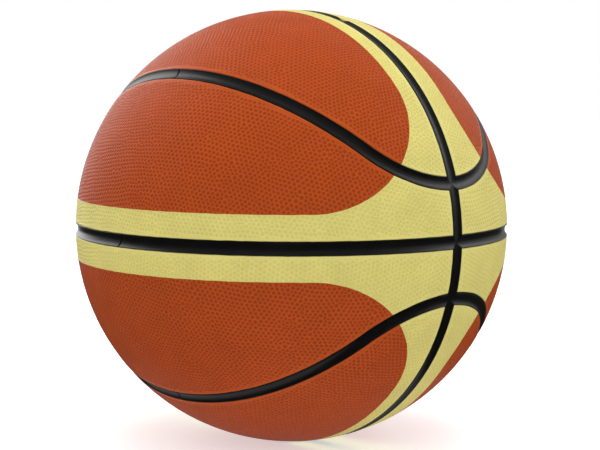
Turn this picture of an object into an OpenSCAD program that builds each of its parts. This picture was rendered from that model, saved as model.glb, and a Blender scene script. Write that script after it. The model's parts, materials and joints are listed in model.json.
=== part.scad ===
// Basketball with a wound carcass: a rubber bladder with its valve, a thread winding and a rubber
// carcass, and on it black rubber channel strips and brown and cream leather panels between them.
// All lengths are in millimetres. The origin is the centre of the ball, +Z is up and -Y is the front.
// The equator channel lies in the plane z = 0 and the meridian channel in the plane y = 0, and they
// cross at +X and -X. A curved channel runs round the upper half and another round the lower half.
// Each lies midway between equator and meridian and turns round both crossings.

/* [Ball] */
// Length round the ball
circumference = 700; // [640:5:780]

/* [Layers] */
// Wall of the rubber bladder
bladder_t = 0.5; // [0.3:0.1:1.2]
// Thickness of the wound thread
winding_t = 0.8; // [0.5:0.1:1.5]
// Wall of the rubber carcass
carcass_t = 0.6; // [0.4:0.1:1.5]
// Thickness of a leather panel
panel_t = 1.8; // [1.4:0.1:2.6]
// Adhesive between two layers
bond_t = 0.1; // [0.05:0.05:0.2]

/* [Channels] */
// Width of a channel strip
strip_w = 6.4; // [5:0.1:8]
// Width of the edge on each side of a strip's hollow
lip_w = 0.4; // [0.2:0.1:0.8]
// Rubber left under the middle of the hollow
floor_t = 0.6; // [0.4:0.1:1]
// Gap between a strip and the piece beside it
edge_gap = 0.15; // [0.1:0.05:0.3]
// Distance on the ball from a crossing to the middle of a curved channel
turn_arc = 28; // [24:0.5:34]

/* [Stripes] */
// Distance from the middle of the equator channel to a brown field
equator_w = 15.4; // [12:0.1:18]
// Distance from the middle of the meridian channel to a brown field at the front
meridian_front_w = 13; // [11:0.1:18]
// Distance from the middle of the meridian channel to a brown field at the back
meridian_back_w = 17.6; // [11:0.1:18]
// Distance on the ball from a crossing to the tip of a brown field at the front
tip_front_arc = 48.4; // [46:0.1:52]
// Distance on the ball from a crossing to the tip of a brown field at the back
tip_back_arc = 49.9; // [46:0.1:52]
// Gap between brown and cream leather
seam_gap = 0.1; // [0.05:0.05:0.3]

/* [Valve] */
// Distance on the ball from the middle of the meridian channel to the valve
valve_arc = 51.5; // [44:0.5:60]
// Diameter of the valve's stem
stem_d = 9.6; // [9:0.2:12]
// Length of the stem
stem_len = 16; // [15:0.5:20]
// Depth of the valve's face below the ball
valve_sink = 0.3; // [0.1:0.1:0.6]
// Diameter of the flange inside the bladder
flange_d = 22; // [18:0.5:28]
// Thickness of the flange
flange_t = 1; // [0.8:0.1:2]
// Diameter of the valve's core
core_d = 5; // [4:0.1:5.6]
// Length of the core with its head
core_len = 12; // [11:0.5:13]
// Diameter of the core's head
head_d = 6.8; // [6.4:0.1:7.4]
// Thickness of the core's head
head_t = 1.6; // [1:0.1:2.4]
// Gap round the core
core_gap = 0.05; // [0.05:0.05:0.1]
// Diameter of the hole for a pump's needle
needle_d = 2; // [1.6:0.1:2.4]
// Depth of the hole for a pump's needle
needle_depth = 9; // [7:0.5:10]
// Diameter of the countersink at the hole's mouth
mouth_d = 3.2; // [2.8:0.1:4]

/* [Hidden] */
$fn = 360;

// Outer radii of the layers, from the cover inwards
ball_r = circumference / (2 * PI);
cover_r = ball_r - panel_t;
carcass_r = cover_r - bond_t;
winding_r = carcass_r - carcass_t - bond_t;
bladder_r = winding_r - winding_t - bond_t;
air_r = bladder_r - bladder_t;

// Half spaces and cones reach this far
reach = 2 * ball_r;

// The angle at the ball's centre for a distance on the ball
function arc_angle(arc) = arc / ball_r * 180 / PI;

// The angle at the ball's centre for the distance of a flat cut from the centre
function cut_angle(distance) = asin(distance / ball_r);

// The two straight runs of a curved channel meet at +X, and a circle rounds their corner. It passes
// +X at the angle tip. Its middle leans this far from +X towards the pole.
function turn_lean(tip) = atan(sin(tip) / (cos(tip) - sqrt(1 / 2)));

// How far from +X the plane leans that goes through the two points where the circle meets the
// straight lines at the angle side from the runs
function turn_end(lean, side) =
    atan(tan(lean) / 2 + tan(side) * sqrt(pow(cos(lean), 2) + pow(sin(lean), 2) / 2)
        / (sqrt(2) * cos(lean)));

// The corner of a brown field at +X is rounded by a circle that passes +X at the angle tip and keeps
// the angles side_z and side_y from the planes z = 0 and y = 0. This is its angular radius, and its
// middle as a direction.
function corner_radius(tip, side_z, side_y) =
    let (
        p = cos(2 * tip) - cos(2 * side_z) - cos(2 * side_y),
        q = sin(2 * tip) - sin(2 * side_z) - sin(2 * side_y)
    )
    180 - (acos(-1 / norm([p, q])) + atan2(q, p)) / 2;
function corner_middle(radius, tip, side_z, side_y) =
    [cos(radius + tip), -sin(radius + side_y), sin(radius + side_z)];

// A turn is opened by this angle, so that its cone crosses the flat cuts and doesn't just touch them
turn_extra_angle = 0.03;

// Curved channel: the lean and the angular radius of its turns, and half the angle round a turn
turn_tip = arc_angle(turn_arc);
channel_lean = turn_lean(turn_tip);
turn_radius = channel_lean - turn_tip;
turn_sweep = atan(1 / cos(channel_lean));
straight_end = atan(tan(channel_lean) / sqrt(2));

// Hollow of a strip: a circle through both lips and the lowest point
strip_half = strip_w / 2;
hollow_half = strip_half - lip_w;
hollow_depth = panel_t - floor_t;
hollow_r = (pow(hollow_half, 2) + pow(hollow_depth, 2)) / (2 * hollow_depth);
hollow_middle = ball_r - hollow_depth + hollow_r;

// A turn of a curved strip is fuller than its straight run by this much all round, and the straight
// run ends this far inside it, so that the two are one solid
turn_fullness = edge_gap / 8;
run_overlap_angle = arc_angle(edge_gap * 4);

// Distance of a panel's edge from the middle of the channel beside it
panel_edge = strip_half + edge_gap;

// Distance from the meridian channel and distance of the tip, for the brown fields of each side
front_field = [meridian_front_w, tip_front_arc];
back_field = [meridian_back_w, tip_back_arc];

// The valve's place, from -Z towards the back
valve_angle = arc_angle(valve_arc);
valve_face = ball_r - valve_sink;
mouth_depth = (mouth_d - needle_d) / 2;

brown = [0.74, 0.31, 0.14];
cream = [0.87, 0.83, 0.52];
black = [0.1, 0.1, 0.1];

// Copies what is built for the front's upper quarter, or at +X, to where it is needed
module upper_front() children();
module upper_back() mirror([0, 1, 0]) children();
module lower_front() mirror([0, 0, 1]) children();
module lower_back() mirror([0, 1, 0]) mirror([0, 0, 1]) children();
module both_ends() {
    children();
    mirror([1, 0, 0]) children();
}

// Everything beyond a distance along +Z, and the same turned to the front
module above(distance) translate([-reach, -reach, distance]) cube(2 * reach);
module before(distance) rotate([90, 0, 0]) above(distance);

// Turns +Z to a direction
module towards(way) rotate([0, acos(way[2] / norm(way)), atan2(way[1], way[0])]) children();

// A cone from the middle of the ball along +Z, with the given angle from its axis to its side
module cone(angle) cylinder(h = reach * cos(angle), r1 = 0, r2 = reach * sin(angle));

// A ball-shaped layer
module layer(outer_r, inner_r) {
    difference() {
        sphere(outer_r);
        sphere(inner_r);
    }
}

// The area of the ball above both planes that lean 45 degrees to the front and to the back, each
// moved up by a distance, with the corners at +X and -X rounded by a circle about the given lean
module rounded_lune(distance, lean, radius) {
    end_angle = turn_end(lean, cut_angle(distance));
    open_radius = radius - cut_angle(distance) + turn_extra_angle;
    difference() {
        intersection() {
            rotate([-45, 0, 0]) above(distance);
            rotate([45, 0, 0]) above(distance);
        }
        both_ends()
            rotate([0, -end_angle, 0]) translate([-reach, -reach, -2 * reach]) cube(2 * reach);
    }
    both_ends() rotate([0, 90 - lean, 0]) cone(open_radius);
}

// The pole's side of a curved channel, moved towards the pole by a distance
module pole_side(distance) rounded_lune(distance, channel_lean, turn_radius);

// The brown field in the front's upper quarter, made smaller all round by a distance
module brown_field(field, distance) {
    side_z = cut_angle(equator_w);
    side_y = cut_angle(field[0]);
    tip = arc_angle(field[1]);
    radius = corner_radius(tip, side_z, side_y);
    middle = corner_middle(radius, tip, side_z, side_y);
    inset_z = cut_angle(equator_w + distance);
    inset_y = cut_angle(field[0] + distance);
    heading = atan2(middle[1], middle[0]);
    rise = atan2(middle[2], middle[0]);
    end_z = [cos(inset_z) * cos(heading), cos(inset_z) * sin(heading), sin(inset_z)];
    end_y = [cos(inset_y) * cos(rise), -sin(inset_y), cos(inset_y) * sin(rise)];
    difference() {
        intersection() {
            above(equator_w + distance);
            before(field[0] + distance);
        }
        both_ends() towards(cross(end_y, end_z)) above(0);
    }
    both_ends() towards(middle) cone(radius + side_z - inset_z + turn_extra_angle);
}

// The leather between meridian and curved channel, and between equator and curved channel
module crown_panel() {
    intersection() {
        layer(ball_r, cover_r);
        before(panel_edge);
        pole_side(panel_edge);
    }
}

module waist_panel() {
    difference() {
        intersection() {
            layer(ball_r, cover_r);
            before(panel_edge);
            above(panel_edge);
        }
        pole_side(-panel_edge);
    }
}

module crown_brown(field) {
    color(brown) intersection() {
        crown_panel();
        brown_field(field, seam_gap / 2);
    }
}

module crown_cream(field) {
    color(cream) difference() {
        crown_panel();
        brown_field(field, -seam_gap / 2);
    }
}

module waist_brown(field) {
    color(brown) intersection() {
        waist_panel();
        brown_field(field, seam_gap / 2);
    }
}

module waist_cream(field) {
    color(cream) difference() {
        waist_panel();
        brown_field(field, -seam_gap / 2);
    }
}

// A strip's cross-section at an angle from the axis that it is turned about
module strip_profile(angle, fullness = 0) {
    difference() {
        intersection() {
            difference() {
                circle(ball_r + fullness);
                circle(cover_r - fullness);
            }
            rotate(-angle) translate([-strip_half - fullness, 0]) square([strip_w + 2 * fullness, reach]);
        }
        rotate(-angle) translate([0, hollow_middle]) circle(hollow_r - fullness);
    }
}

module meridian_strip() {
    color(black) rotate([90, 0, 0]) rotate_extrude() strip_profile(90);
}

module equator_strip() {
    color(black) intersection() {
        rotate_extrude() strip_profile(90);
        before(panel_edge);
    }
}

module curved_strip() {
    run = 180 - 2 * straight_end + 2 * run_overlap_angle;
    color(black) intersection() {
        union() {
            rotate([-45, 0, 0]) rotate([0, 0, -90 - run / 2])
                rotate_extrude(angle = run) strip_profile(90);
            both_ends() rotate([0, 90 - channel_lean, 0]) rotate([0, 0, -turn_sweep])
                rotate_extrude(angle = turn_sweep) strip_profile(turn_radius, turn_fullness);
        }
        before(panel_edge);
    }
}

// Turns +Z, as the way out of the valve, to the valve's place
module at_valve() rotate([180 + valve_angle, 0, 0]) children();

// The hole that a layer leaves round the stem
module stem_hole(gap) at_valve() cylinder(h = reach, d = stem_d + 2 * gap);

module bladder() {
    color("dimgray") difference() {
        layer(bladder_r, air_r);
        stem_hole(bond_t);
    }
}

module thread_winding() {
    color("gainsboro") difference() {
        layer(winding_r, winding_r - winding_t);
        stem_hole(edge_gap);
    }
}

module carcass() {
    color("darkslategray") difference() {
        layer(carcass_r, carcass_r - carcass_t);
        stem_hole(edge_gap);
    }
}

// The core's outline with a gap round it, down from the valve's face
module core_space(gap) {
    translate([0, 0, valve_face - core_len - gap]) cylinder(h = core_len + 2 * gap, d = core_d + 2 * gap);
    translate([0, 0, valve_face - head_t - gap]) cylinder(h = head_t + 2 * gap, d = head_d + 2 * gap);
}

module valve_housing() {
    color(black) at_valve() difference() {
        union() {
            translate([0, 0, valve_face - stem_len]) cylinder(h = stem_len, d = stem_d);
            intersection() {
                layer(air_r - bond_t, air_r - bond_t - flange_t);
                cylinder(h = reach, d = flange_d);
            }
        }
        core_space(core_gap);
    }
}

module valve_core() {
    color("dimgray") at_valve() difference() {
        core_space(0);
        translate([0, 0, valve_face - needle_depth]) cylinder(h = needle_depth + mouth_depth, d = needle_d);
        translate([0, 0, valve_face - mouth_depth])
            cylinder(h = 2 * mouth_depth, d1 = needle_d, d2 = 2 * mouth_d - needle_d);
    }
}

module equator_strip_front() upper_front() equator_strip();
module equator_strip_back() upper_back() equator_strip();
module curved_strip_upper_front() upper_front() curved_strip();
module curved_strip_upper_back() upper_back() curved_strip();
module curved_strip_lower_front() lower_front() curved_strip();
module curved_strip_lower_back() lower_back() curved_strip();
module crown_brown_upper_front() upper_front() crown_brown(front_field);
module crown_brown_upper_back() upper_back() crown_brown(back_field);
module crown_brown_lower_front() lower_front() crown_brown(front_field);
module crown_brown_lower_back() {
    difference() {
        lower_back() crown_brown(back_field);
        stem_hole(edge_gap);
    }
}
module crown_cream_upper_front() upper_front() crown_cream(front_field);
module crown_cream_upper_back() upper_back() crown_cream(back_field);
module crown_cream_lower_front() lower_front() crown_cream(front_field);
module crown_cream_lower_back() lower_back() crown_cream(back_field);
module waist_brown_upper_front() upper_front() waist_brown(front_field);
module waist_brown_upper_back() upper_back() waist_brown(back_field);
module waist_brown_lower_front() lower_front() waist_brown(front_field);
module waist_brown_lower_back() lower_back() waist_brown(back_field);
module waist_cream_upper_front() upper_front() waist_cream(front_field);
module waist_cream_upper_back() upper_back() waist_cream(back_field);
module waist_cream_lower_front() lower_front() waist_cream(front_field);
module waist_cream_lower_back() lower_back() waist_cream(back_field);

bladder();
valve_housing();
valve_core();
thread_winding();
carcass();
meridian_strip();
equator_strip_front();
equator_strip_back();
curved_strip_upper_front();
curved_strip_upper_back();
curved_strip_lower_front();
curved_strip_lower_back();
crown_brown_upper_front();
crown_brown_upper_back();
crown_brown_lower_front();
crown_brown_lower_back();
crown_cream_upper_front();
crown_cream_upper_back();
crown_cream_lower_front();
crown_cream_lower_back();
waist_brown_upper_front();
waist_brown_upper_back();
waist_brown_lower_front();
waist_brown_lower_back();
waist_cream_upper_front();
waist_cream_upper_back();
waist_cream_lower_front();
waist_cream_lower_back();
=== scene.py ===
import json
import math

import bmesh
import bpy
import numpy as np
from mathutils import Matrix, Vector
from mathutils.geometry import delaunay_2d_cdt

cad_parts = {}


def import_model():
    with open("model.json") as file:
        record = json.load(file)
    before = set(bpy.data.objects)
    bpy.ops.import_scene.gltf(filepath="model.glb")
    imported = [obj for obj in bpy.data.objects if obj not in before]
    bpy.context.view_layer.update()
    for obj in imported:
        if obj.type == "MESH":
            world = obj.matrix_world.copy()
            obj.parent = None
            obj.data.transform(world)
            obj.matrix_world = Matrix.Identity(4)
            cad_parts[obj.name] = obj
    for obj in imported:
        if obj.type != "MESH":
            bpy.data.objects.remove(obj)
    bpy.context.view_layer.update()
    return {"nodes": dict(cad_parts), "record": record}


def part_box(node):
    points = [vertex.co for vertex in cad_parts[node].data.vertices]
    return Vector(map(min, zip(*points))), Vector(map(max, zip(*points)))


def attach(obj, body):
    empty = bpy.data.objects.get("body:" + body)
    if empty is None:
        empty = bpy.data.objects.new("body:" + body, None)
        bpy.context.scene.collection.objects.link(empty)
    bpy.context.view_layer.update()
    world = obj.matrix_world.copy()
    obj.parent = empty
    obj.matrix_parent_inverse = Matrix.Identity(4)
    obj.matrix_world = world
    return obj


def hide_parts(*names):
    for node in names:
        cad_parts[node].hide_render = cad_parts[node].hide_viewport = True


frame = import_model()


# Bladder
# A hollow ball of black butyl rubber that holds the air. It is moulded in two halves that are
# joined hot, and the valve is bonded into it from the inside.

MM = 0.001
nodes = frame["nodes"]


def add_node(tree, kind, inputs=None, **settings):
    """Adds a node, sets its settings, and gives its inputs values or links them to sockets."""
    node = tree.nodes.new(kind)
    for name, value in settings.items():
        setattr(node, name, value)
    for name, value in (inputs or {}).items():
        if isinstance(value, bpy.types.NodeSocket):
            tree.links.new(value, node.inputs[name])
        else:
            node.inputs[name].default_value = value
    return node


def result_of(tree, kind, inputs=None, **settings):
    """Adds a node and takes its first result."""
    return add_node(tree, kind, inputs, **settings).outputs[0]


def math_node(tree, operation, *values, clamp=False):
    """The result of a Math node on values or sockets."""
    values = dict(enumerate(values))
    return result_of(tree, "ShaderNodeMath", values, operation=operation, use_clamp=clamp)


def new_group(name, kind, inputs, outputs):
    """A node group, and its input and output nodes. An input is given by its kind of socket, or when
    it is a number by its usual value. An output is given by its kind of socket."""
    tree = bpy.data.node_groups.new(name, kind)
    for label, given in inputs.items():
        is_number = not isinstance(given, str)
        socket_kind = "NodeSocket" + ("Float" if is_number else given)
        socket = tree.interface.new_socket(label, in_out="INPUT", socket_type=socket_kind)
        if is_number:
            socket.default_value = given
    for label, given in outputs.items():
        tree.interface.new_socket(label, in_out="OUTPUT", socket_type="NodeSocket" + given)
    return tree, tree.nodes.new("NodeGroupInput").outputs, tree.nodes.new("NodeGroupOutput").inputs


def sized_noise(tree, place, size, detail):
    """A noise texture at a place, with features of about a size."""
    scale = math_node(tree, "DIVIDE", 1, size)
    return result_of(tree, "ShaderNodeTexNoise", {"Vector": place, "Scale": scale, "Detail": detail})


def moulded_rubber():
    """The skin of moulded rubber: fine grain, and a faint cloudiness where the mould was dusted."""
    tree, given, made = new_group(
        "moulded_rubber",
        "ShaderNodeTree",
        {"Grain Size": 0.4 * MM, "Cloud Size": 9 * MM},
        {"Grain": "Float", "Cloud": "Float"},
    )
    place = add_node(tree, "ShaderNodeTexCoord").outputs["Object"]
    for size, result, detail in (("Grain Size", "Grain", 2), ("Cloud Size", "Cloud", 3)):
        tree.links.new(sized_noise(tree, place, given[size], detail), made[result])
    return tree


RUBBER = moulded_rubber()


def new_material(name, **sockets):
    """A material, its node tree and its Principled shader with these values on its own sockets."""
    material = bpy.data.materials.new(name)
    material.use_nodes = True
    tree = material.node_tree
    shader = tree.nodes["Principled BSDF"]
    for label, value in sockets.items():
        shader.inputs[label.replace("_", " ")].default_value = value
    return material, tree, shader


def blend_colours(tree, factor, first, second):
    """The result of a Mix node between two colours."""
    node = add_node(tree, "ShaderNodeMix", {"Factor": factor}, data_type="RGBA")

    # Its colours are inputs 6 and 7 and output 2, because each kind of data has its own sockets.
    for socket, value in zip((node.inputs[6], node.inputs[7]), (first, second)):
        if isinstance(value, bpy.types.NodeSocket):
            tree.links.new(value, socket)
        else:
            socket.default_value = (*value, 1)
    return node.outputs[2]


def map_range(tree, value, ends, results=(0, 1), **settings):
    """Takes a value between two ends to one between two results."""
    inputs = {
        "Value": value,
        "From Min": ends[0],
        "From Max": ends[1],
        "To Min": results[0],
        "To Max": results[1],
    }
    return result_of(tree, "ShaderNodeMapRange", inputs, **settings)


def add_bump(tree, shader, height, distance):
    """Gives a shader a bump whose height is in shares of a distance."""
    bump = add_node(tree, "ShaderNodeBump", {"Height": height, "Distance": distance})
    tree.links.new(bump.outputs["Normal"], shader.inputs["Normal"])


ROUGHNESS_SPREAD = 0.07


def rubber_material(name, dark, dusted, roughness, grain_size, grain_depth):
    """Rubber that goes from its dark colour to a dusted one, with fine moulded grain."""
    material, tree, shader = new_material(name)
    skin = add_node(tree, "ShaderNodeGroup", {"Grain Size": grain_size}, node_tree=RUBBER).outputs
    cloud = map_range(tree, skin["Cloud"], (0.3, 0.7))
    tree.links.new(blend_colours(tree, cloud, dark, dusted), shader.inputs["Base Color"])
    spread = (roughness - ROUGHNESS_SPREAD, roughness + ROUGHNESS_SPREAD)
    rough = map_range(tree, skin["Cloud"], (0, 1), spread)
    tree.links.new(rough, shader.inputs["Roughness"])
    add_bump(tree, shader, skin["Grain"], grain_depth)
    return material


def finish_node(name, material):
    """Gives a CAD node that stays in the scene its material."""
    nodes[name].data.materials.clear()
    nodes[name].data.materials.append(material)


BUTYL = rubber_material(
    "butyl_rubber", (0.014, 0.014, 0.015), (0.03, 0.03, 0.032), 0.5, 0.5 * MM, 0.01 * MM)
finish_node("bladder", BUTYL)


# Valve
# A moulded rubber stem with a flange that is bonded inside the bladder, and in it a plug of softer
# rubber with a countersunk hole for a pump's needle. Both are round, so their outlines are turned.

mounts = {mount["name"]: mount for mount in frame["record"]["mounts"]}

# The ball rests on the lowest point of its cover, so that mount gives its radius.
BALL = -mounts["cradle_seat"]["pos_m"][2]
VALVE_AXIS = Vector(mounts["needle_hole"]["axis"]).normalized()
VALVE_SUNK = 0.3 * MM
VALVE_FACE = BALL - VALVE_SUNK
STEM_R = 4.8 * MM
STEM_LENGTH = 16 * MM
FLANGE_R = 11 * MM
FLANGE = 1 * MM
BLADDER_WALL = 0.5 * MM
BOND = 0.1 * MM
BLADDER_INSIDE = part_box("bladder")[1].z - BLADDER_WALL - BOND
CORE_R = 2.5 * MM
CORE_LENGTH = 12 * MM
HEAD_R = 3.4 * MM
HEAD = 1.6 * MM
CORE_GAP = 0.05 * MM
NEEDLE_R = mounts["needle_hole"]["dims"]["r_mm"] * MM
NEEDLE_DEPTH = 9 * MM
MOUTH_R = 1.6 * MM
TURNED_SIDES = 72
SHARP_FOLD = math.radians(40)


def round_corner(middle, radius, start, end, steps=5):
    """Points of an arc from one angle to another, in degrees."""
    angles = np.radians(np.linspace(start, end, steps))
    return [(middle[0] + radius * math.cos(a), middle[1] + radius * math.sin(a)) for a in angles]


def add_object(name, data):
    """Adds data to the scene as an object."""
    added = bpy.data.objects.new(name, data)
    bpy.context.scene.collection.objects.link(added)
    return added


def link_piece(name, mesh):
    """Adds a mesh to the scene as a piece that rides on the ball."""
    piece = add_object(name, mesh)
    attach(piece, "root")
    return piece


def dome(radius, start, end, steps=8):
    """Points of an arc round the ball's middle, from one distance from the valve's axis to another."""
    angles = np.linspace(math.asin(start / radius), math.asin(end / radius), steps)
    return [(radius * math.sin(a), radius * math.cos(a)) for a in angles]


def turned_mesh(name, outline, material):
    """Turns a closed outline of radius and height round the valve's axis, with poles at radius 0."""
    across = VALVE_AXIS.orthogonal().normalized()
    beside = VALVE_AXIS.cross(across)
    shape = bmesh.new()
    rings = []
    for radius, height in outline:
        count = 1 if radius == 0 else TURNED_SIDES
        angles = [2 * math.pi * step / count for step in range(count)]
        outwards = [(across * math.cos(a) + beside * math.sin(a)) * radius for a in angles]
        rings.append([shape.verts.new(VALVE_AXIS * height + away) for away in outwards])

    # Two corners of a face fall together at a pole, and a face between two poles isn't made.
    for low, high in zip(rings, rings[1:] + rings[:1]):
        for step in range(TURNED_SIDES):
            turns = ((low, step), (low, step + 1), (high, step + 1), (high, step))
            corners = list(dict.fromkeys(ring[turn % len(ring)] for ring, turn in turns))
            if len(corners) > 2:
                shape.faces.new(corners)
    bmesh.ops.recalc_face_normals(shape, faces=shape.faces)
    for face in shape.faces:
        face.smooth = True
    for edge in shape.edges:
        edge.smooth = edge.calc_face_angle(0) < SHARP_FOLD
    mesh = bpy.data.meshes.new(name)
    shape.to_mesh(mesh)
    shape.free()
    mesh.materials.append(material)
    return mesh


def housing_outline():
    """From the bottom of the stem out round the flange to the face, and down the core's pocket."""
    rim = 0.4 * MM
    pocket_rim = 0.2 * MM
    bottom = VALVE_FACE - STEM_LENGTH
    pocket = CORE_R + CORE_GAP
    head_pocket = HEAD_R + CORE_GAP
    return [
        (0, bottom),
        *round_corner((STEM_R - rim, bottom + rim), rim, -90, 0),
        *dome(BLADDER_INSIDE - FLANGE, STEM_R, FLANGE_R - rim),
        *dome(BLADDER_INSIDE, FLANGE_R, STEM_R),
        *round_corner((STEM_R - rim, VALVE_FACE - rim), rim, 0, 90),
        *round_corner((head_pocket + pocket_rim, VALVE_FACE - pocket_rim), pocket_rim, 90, 180),
        (head_pocket, VALVE_FACE - HEAD - CORE_GAP),
        (pocket, VALVE_FACE - HEAD - CORE_GAP),
        (pocket, VALVE_FACE - CORE_LENGTH - CORE_GAP),
        (0, VALVE_FACE - CORE_LENGTH - CORE_GAP),
    ]


def core_outline():
    """From the closed bottom of the plug up its outside, over its head and down the needle hole."""
    rim = 0.15 * MM
    mouth_depth = MOUTH_R - NEEDLE_R
    bottom = VALVE_FACE - CORE_LENGTH
    return [
        (0, bottom),
        *round_corner((CORE_R - rim, bottom + rim), rim, -90, 0),
        (CORE_R, VALVE_FACE - HEAD),
        (HEAD_R, VALVE_FACE - HEAD),
        *round_corner((HEAD_R - rim, VALVE_FACE - rim), rim, 0, 90),
        *round_corner((MOUTH_R + rim, VALVE_FACE - rim), rim, 90, 135, 3),
        (NEEDLE_R, VALVE_FACE - mouth_depth - rim),
        (NEEDLE_R, VALVE_FACE - NEEDLE_DEPTH),
        (0, VALVE_FACE - NEEDLE_DEPTH),
    ]


VALVE_RUBBER = rubber_material(
    "valve_rubber", (0.006, 0.006, 0.006), (0.012, 0.012, 0.012), 0.42, 0.25 * MM, 0.006 * MM)
CORE_RUBBER = rubber_material(
    "core_rubber", (0.02, 0.02, 0.02), (0.035, 0.034, 0.033), 0.62, 0.2 * MM, 0.008 * MM)

for node, outline, finish, slot in (
    ("valve_housing", housing_outline(), VALVE_RUBBER, "valve_rubber"),
    ("valve_core", core_outline(), CORE_RUBBER, "core_rubber"),
):
    turned = link_piece(node + "_turned", turned_mesh(node + "_turned", outline, finish))
    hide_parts(node)


# Thread winding
# Nylon thread that a machine winds round the bladder in great circles on ever new slants, so that
# it keeps its size. Rubber cement holds the turns, and the carcass hides them.

THREAD_PITCH = 2 * MM

# The bands of a wave texture lie about this far apart at a scale of 1.
WAVE_PITCH = 0.32


def winding_material():
    """Three layers of thread on different slants; where they cross, the highest shows."""
    material, tree, shader = new_material("wound_thread", Roughness=0.7)
    place = add_node(tree, "ShaderNodeTexCoord").outputs["Object"]
    height = None
    for slant in ((0.3, 0.9, 0.2), (1.2, -0.4, 0.8), (-0.7, 0.5, 1.4)):
        turned = result_of(tree, "ShaderNodeMapping", {"Vector": place, "Rotation": slant})
        turns = add_node(
            tree,
            "ShaderNodeTexWave",
            {"Vector": turned, "Scale": WAVE_PITCH / THREAD_PITCH, "Distortion": 0.8, "Detail": 1},
            bands_direction="Z",
        ).outputs["Fac"]
        height = turns if height is None else math_node(tree, "MAXIMUM", height, turns)
    # The thread is coloured darker down between its turns and lighter on their crowns: painted shade in
    # the grooves.
    shade = blend_colours(tree, height, (0.42, 0.38, 0.29), (0.74, 0.7, 0.6))
    tree.links.new(shade, shader.inputs["Base Color"])
    add_bump(tree, shader, height, 0.2 * MM)
    return material


finish_node("thread_winding", winding_material())


# Carcass
# Black rubber that is moulded over the winding and gives the ball its round shape. The channel
# strips and the leather are glued to it.

CARCASS_RUBBER = rubber_material(
    "carcass_rubber", (0.006, 0.006, 0.006), (0.014, 0.014, 0.014), 0.6, 0.6 * MM, 0.02 * MM)
finish_node("carcass", CARCASS_RUBBER)


# Channel strips
# Black rubber strips with a hollow top that are glued on the carcass, flush with the leather. The
# meridian strip is a whole ring, and the others butt against it. Each strip is joined at x = 0.

COVER = 1.8 * MM
STRIP_W = 6.4 * MM
LIP_W = 0.4 * MM
HOLLOW_DEPTH = 1.2 * MM
EDGE_GAP = 0.15 * MM
PANEL_EDGE = STRIP_W / 2 + EDGE_GAP

# The angle from the crossing to where a curved channel's turn passes the meridian channel
TURN_TIP = 28 * MM / BALL

# Paths have close steps at a strip's joint and at the crossings, and long ones elsewhere.
PATH_STEP = 1.6 * MM / BALL
JOINT_REACH = 5.4 * MM / BALL
JOINT_STEP = 0.12 * MM / BALL
CROSSING_REACH = 4 * MM / BALL
CROSSING_STEP = 0.2 * MM / BALL

# The crossing hollows stop a little inside a strip's width.
CROSSING_W = STRIP_W - 0.1 * MM

# The strips that butt against the meridian strip are swept past its side and trimmed flat there.
STRIP_START = 2.9 * MM
BUTT_GAP = 0.03 * MM
STRIP_END = STRIP_W / 2 + BUTT_GAP


def turn_lean(tip):
    """How far the middle of a turn leans from the crossing, which the turn passes at the angle tip."""
    return math.atan(math.sin(tip) / (math.cos(tip) - math.sqrt(0.5)))


def turn_end(lean, side):
    """How far the plane through both ends of a turn leans from the crossing."""
    level = math.sqrt(math.cos(lean) ** 2 + math.sin(lean) ** 2 / 2)
    return math.atan(math.tan(lean) / 2 + math.tan(side) * level / (math.sqrt(2) * math.cos(lean)))


CHANNEL_LEAN = turn_lean(TURN_TIP)
CHANNEL_TURN = CHANNEL_LEAN - TURN_TIP
TURN_SWEEP = math.atan(1 / math.cos(CHANNEL_LEAN))
STRAIGHT_END = math.atan(math.tan(CHANNEL_LEAN) / math.sqrt(2))


def spaced(start, *runs):
    """Numbers from start on, evenly spaced up to the end of each run and at most its step apart."""
    numbers = np.array([start])
    for end, step in runs:
        count = math.ceil(abs(end - numbers[-1]) / step) + 1
        numbers = np.append(numbers, np.linspace(numbers[-1], end, count)[1:])
    return numbers


def straight_angles(start, end):
    """Angles along a straight run, close together at the joint in its middle."""
    middle = (start + end) / 2
    joint = ((middle - JOINT_REACH, PATH_STEP), (middle + JOINT_REACH, JOINT_STEP))
    return spaced(start, *joint, (end, PATH_STEP))


def great_circle(angles, rise):
    """Unit vectors from +X over the front, on a plane that rises from the equator by an angle."""
    return np.stack([
        np.cos(angles),
        -np.sin(angles) * math.cos(rise),
        np.sin(angles) * math.sin(rise),
    ], axis=1)


def meridian_path():
    """The whole ring. Its points lie close together at its joint and where other channels cross it."""
    quarter = spaced(
        0,
        (CROSSING_REACH, CROSSING_STEP),
        (TURN_TIP - CROSSING_REACH, PATH_STEP),
        (TURN_TIP + CROSSING_REACH, CROSSING_STEP),
        (math.pi / 2 - JOINT_REACH, PATH_STEP),
        (math.pi / 2, JOINT_STEP),
    )
    half = np.concatenate([quarter, math.pi - quarter[-2:0:-1]])
    return great_circle(np.concatenate([half, half + math.pi]), math.pi / 2)


def equator_path():
    """The front half of the equator channel, between the sides of the ring."""
    end = math.asin(STRIP_START / BALL)
    return great_circle(straight_angles(end, math.pi - end), 0)


def curved_path():
    """The curved channel in the front's upper quarter: a turn, the straight run and a turn."""
    start = math.asin(STRIP_START / BALL / math.sin(CHANNEL_TURN))
    sweep = spaced(start, (TURN_SWEEP, PATH_STEP / math.sin(CHANNEL_TURN)))[:-1, None]
    middle = np.array([math.cos(CHANNEL_LEAN), 0, math.sin(CHANNEL_LEAN)])
    inwards = np.array([math.sin(CHANNEL_LEAN), 0, -math.cos(CHANNEL_LEAN)])
    front = np.array([0, -1, 0])
    turn = math.cos(CHANNEL_TURN) * middle + math.sin(CHANNEL_TURN) * (
        np.cos(sweep) * inwards + np.sin(sweep) * front)
    straight = great_circle(straight_angles(STRAIGHT_END, math.pi - STRAIGHT_END), math.pi / 4)
    return np.concatenate([turn, straight, turn[::-1] * [-1, 1, 1]])


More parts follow.
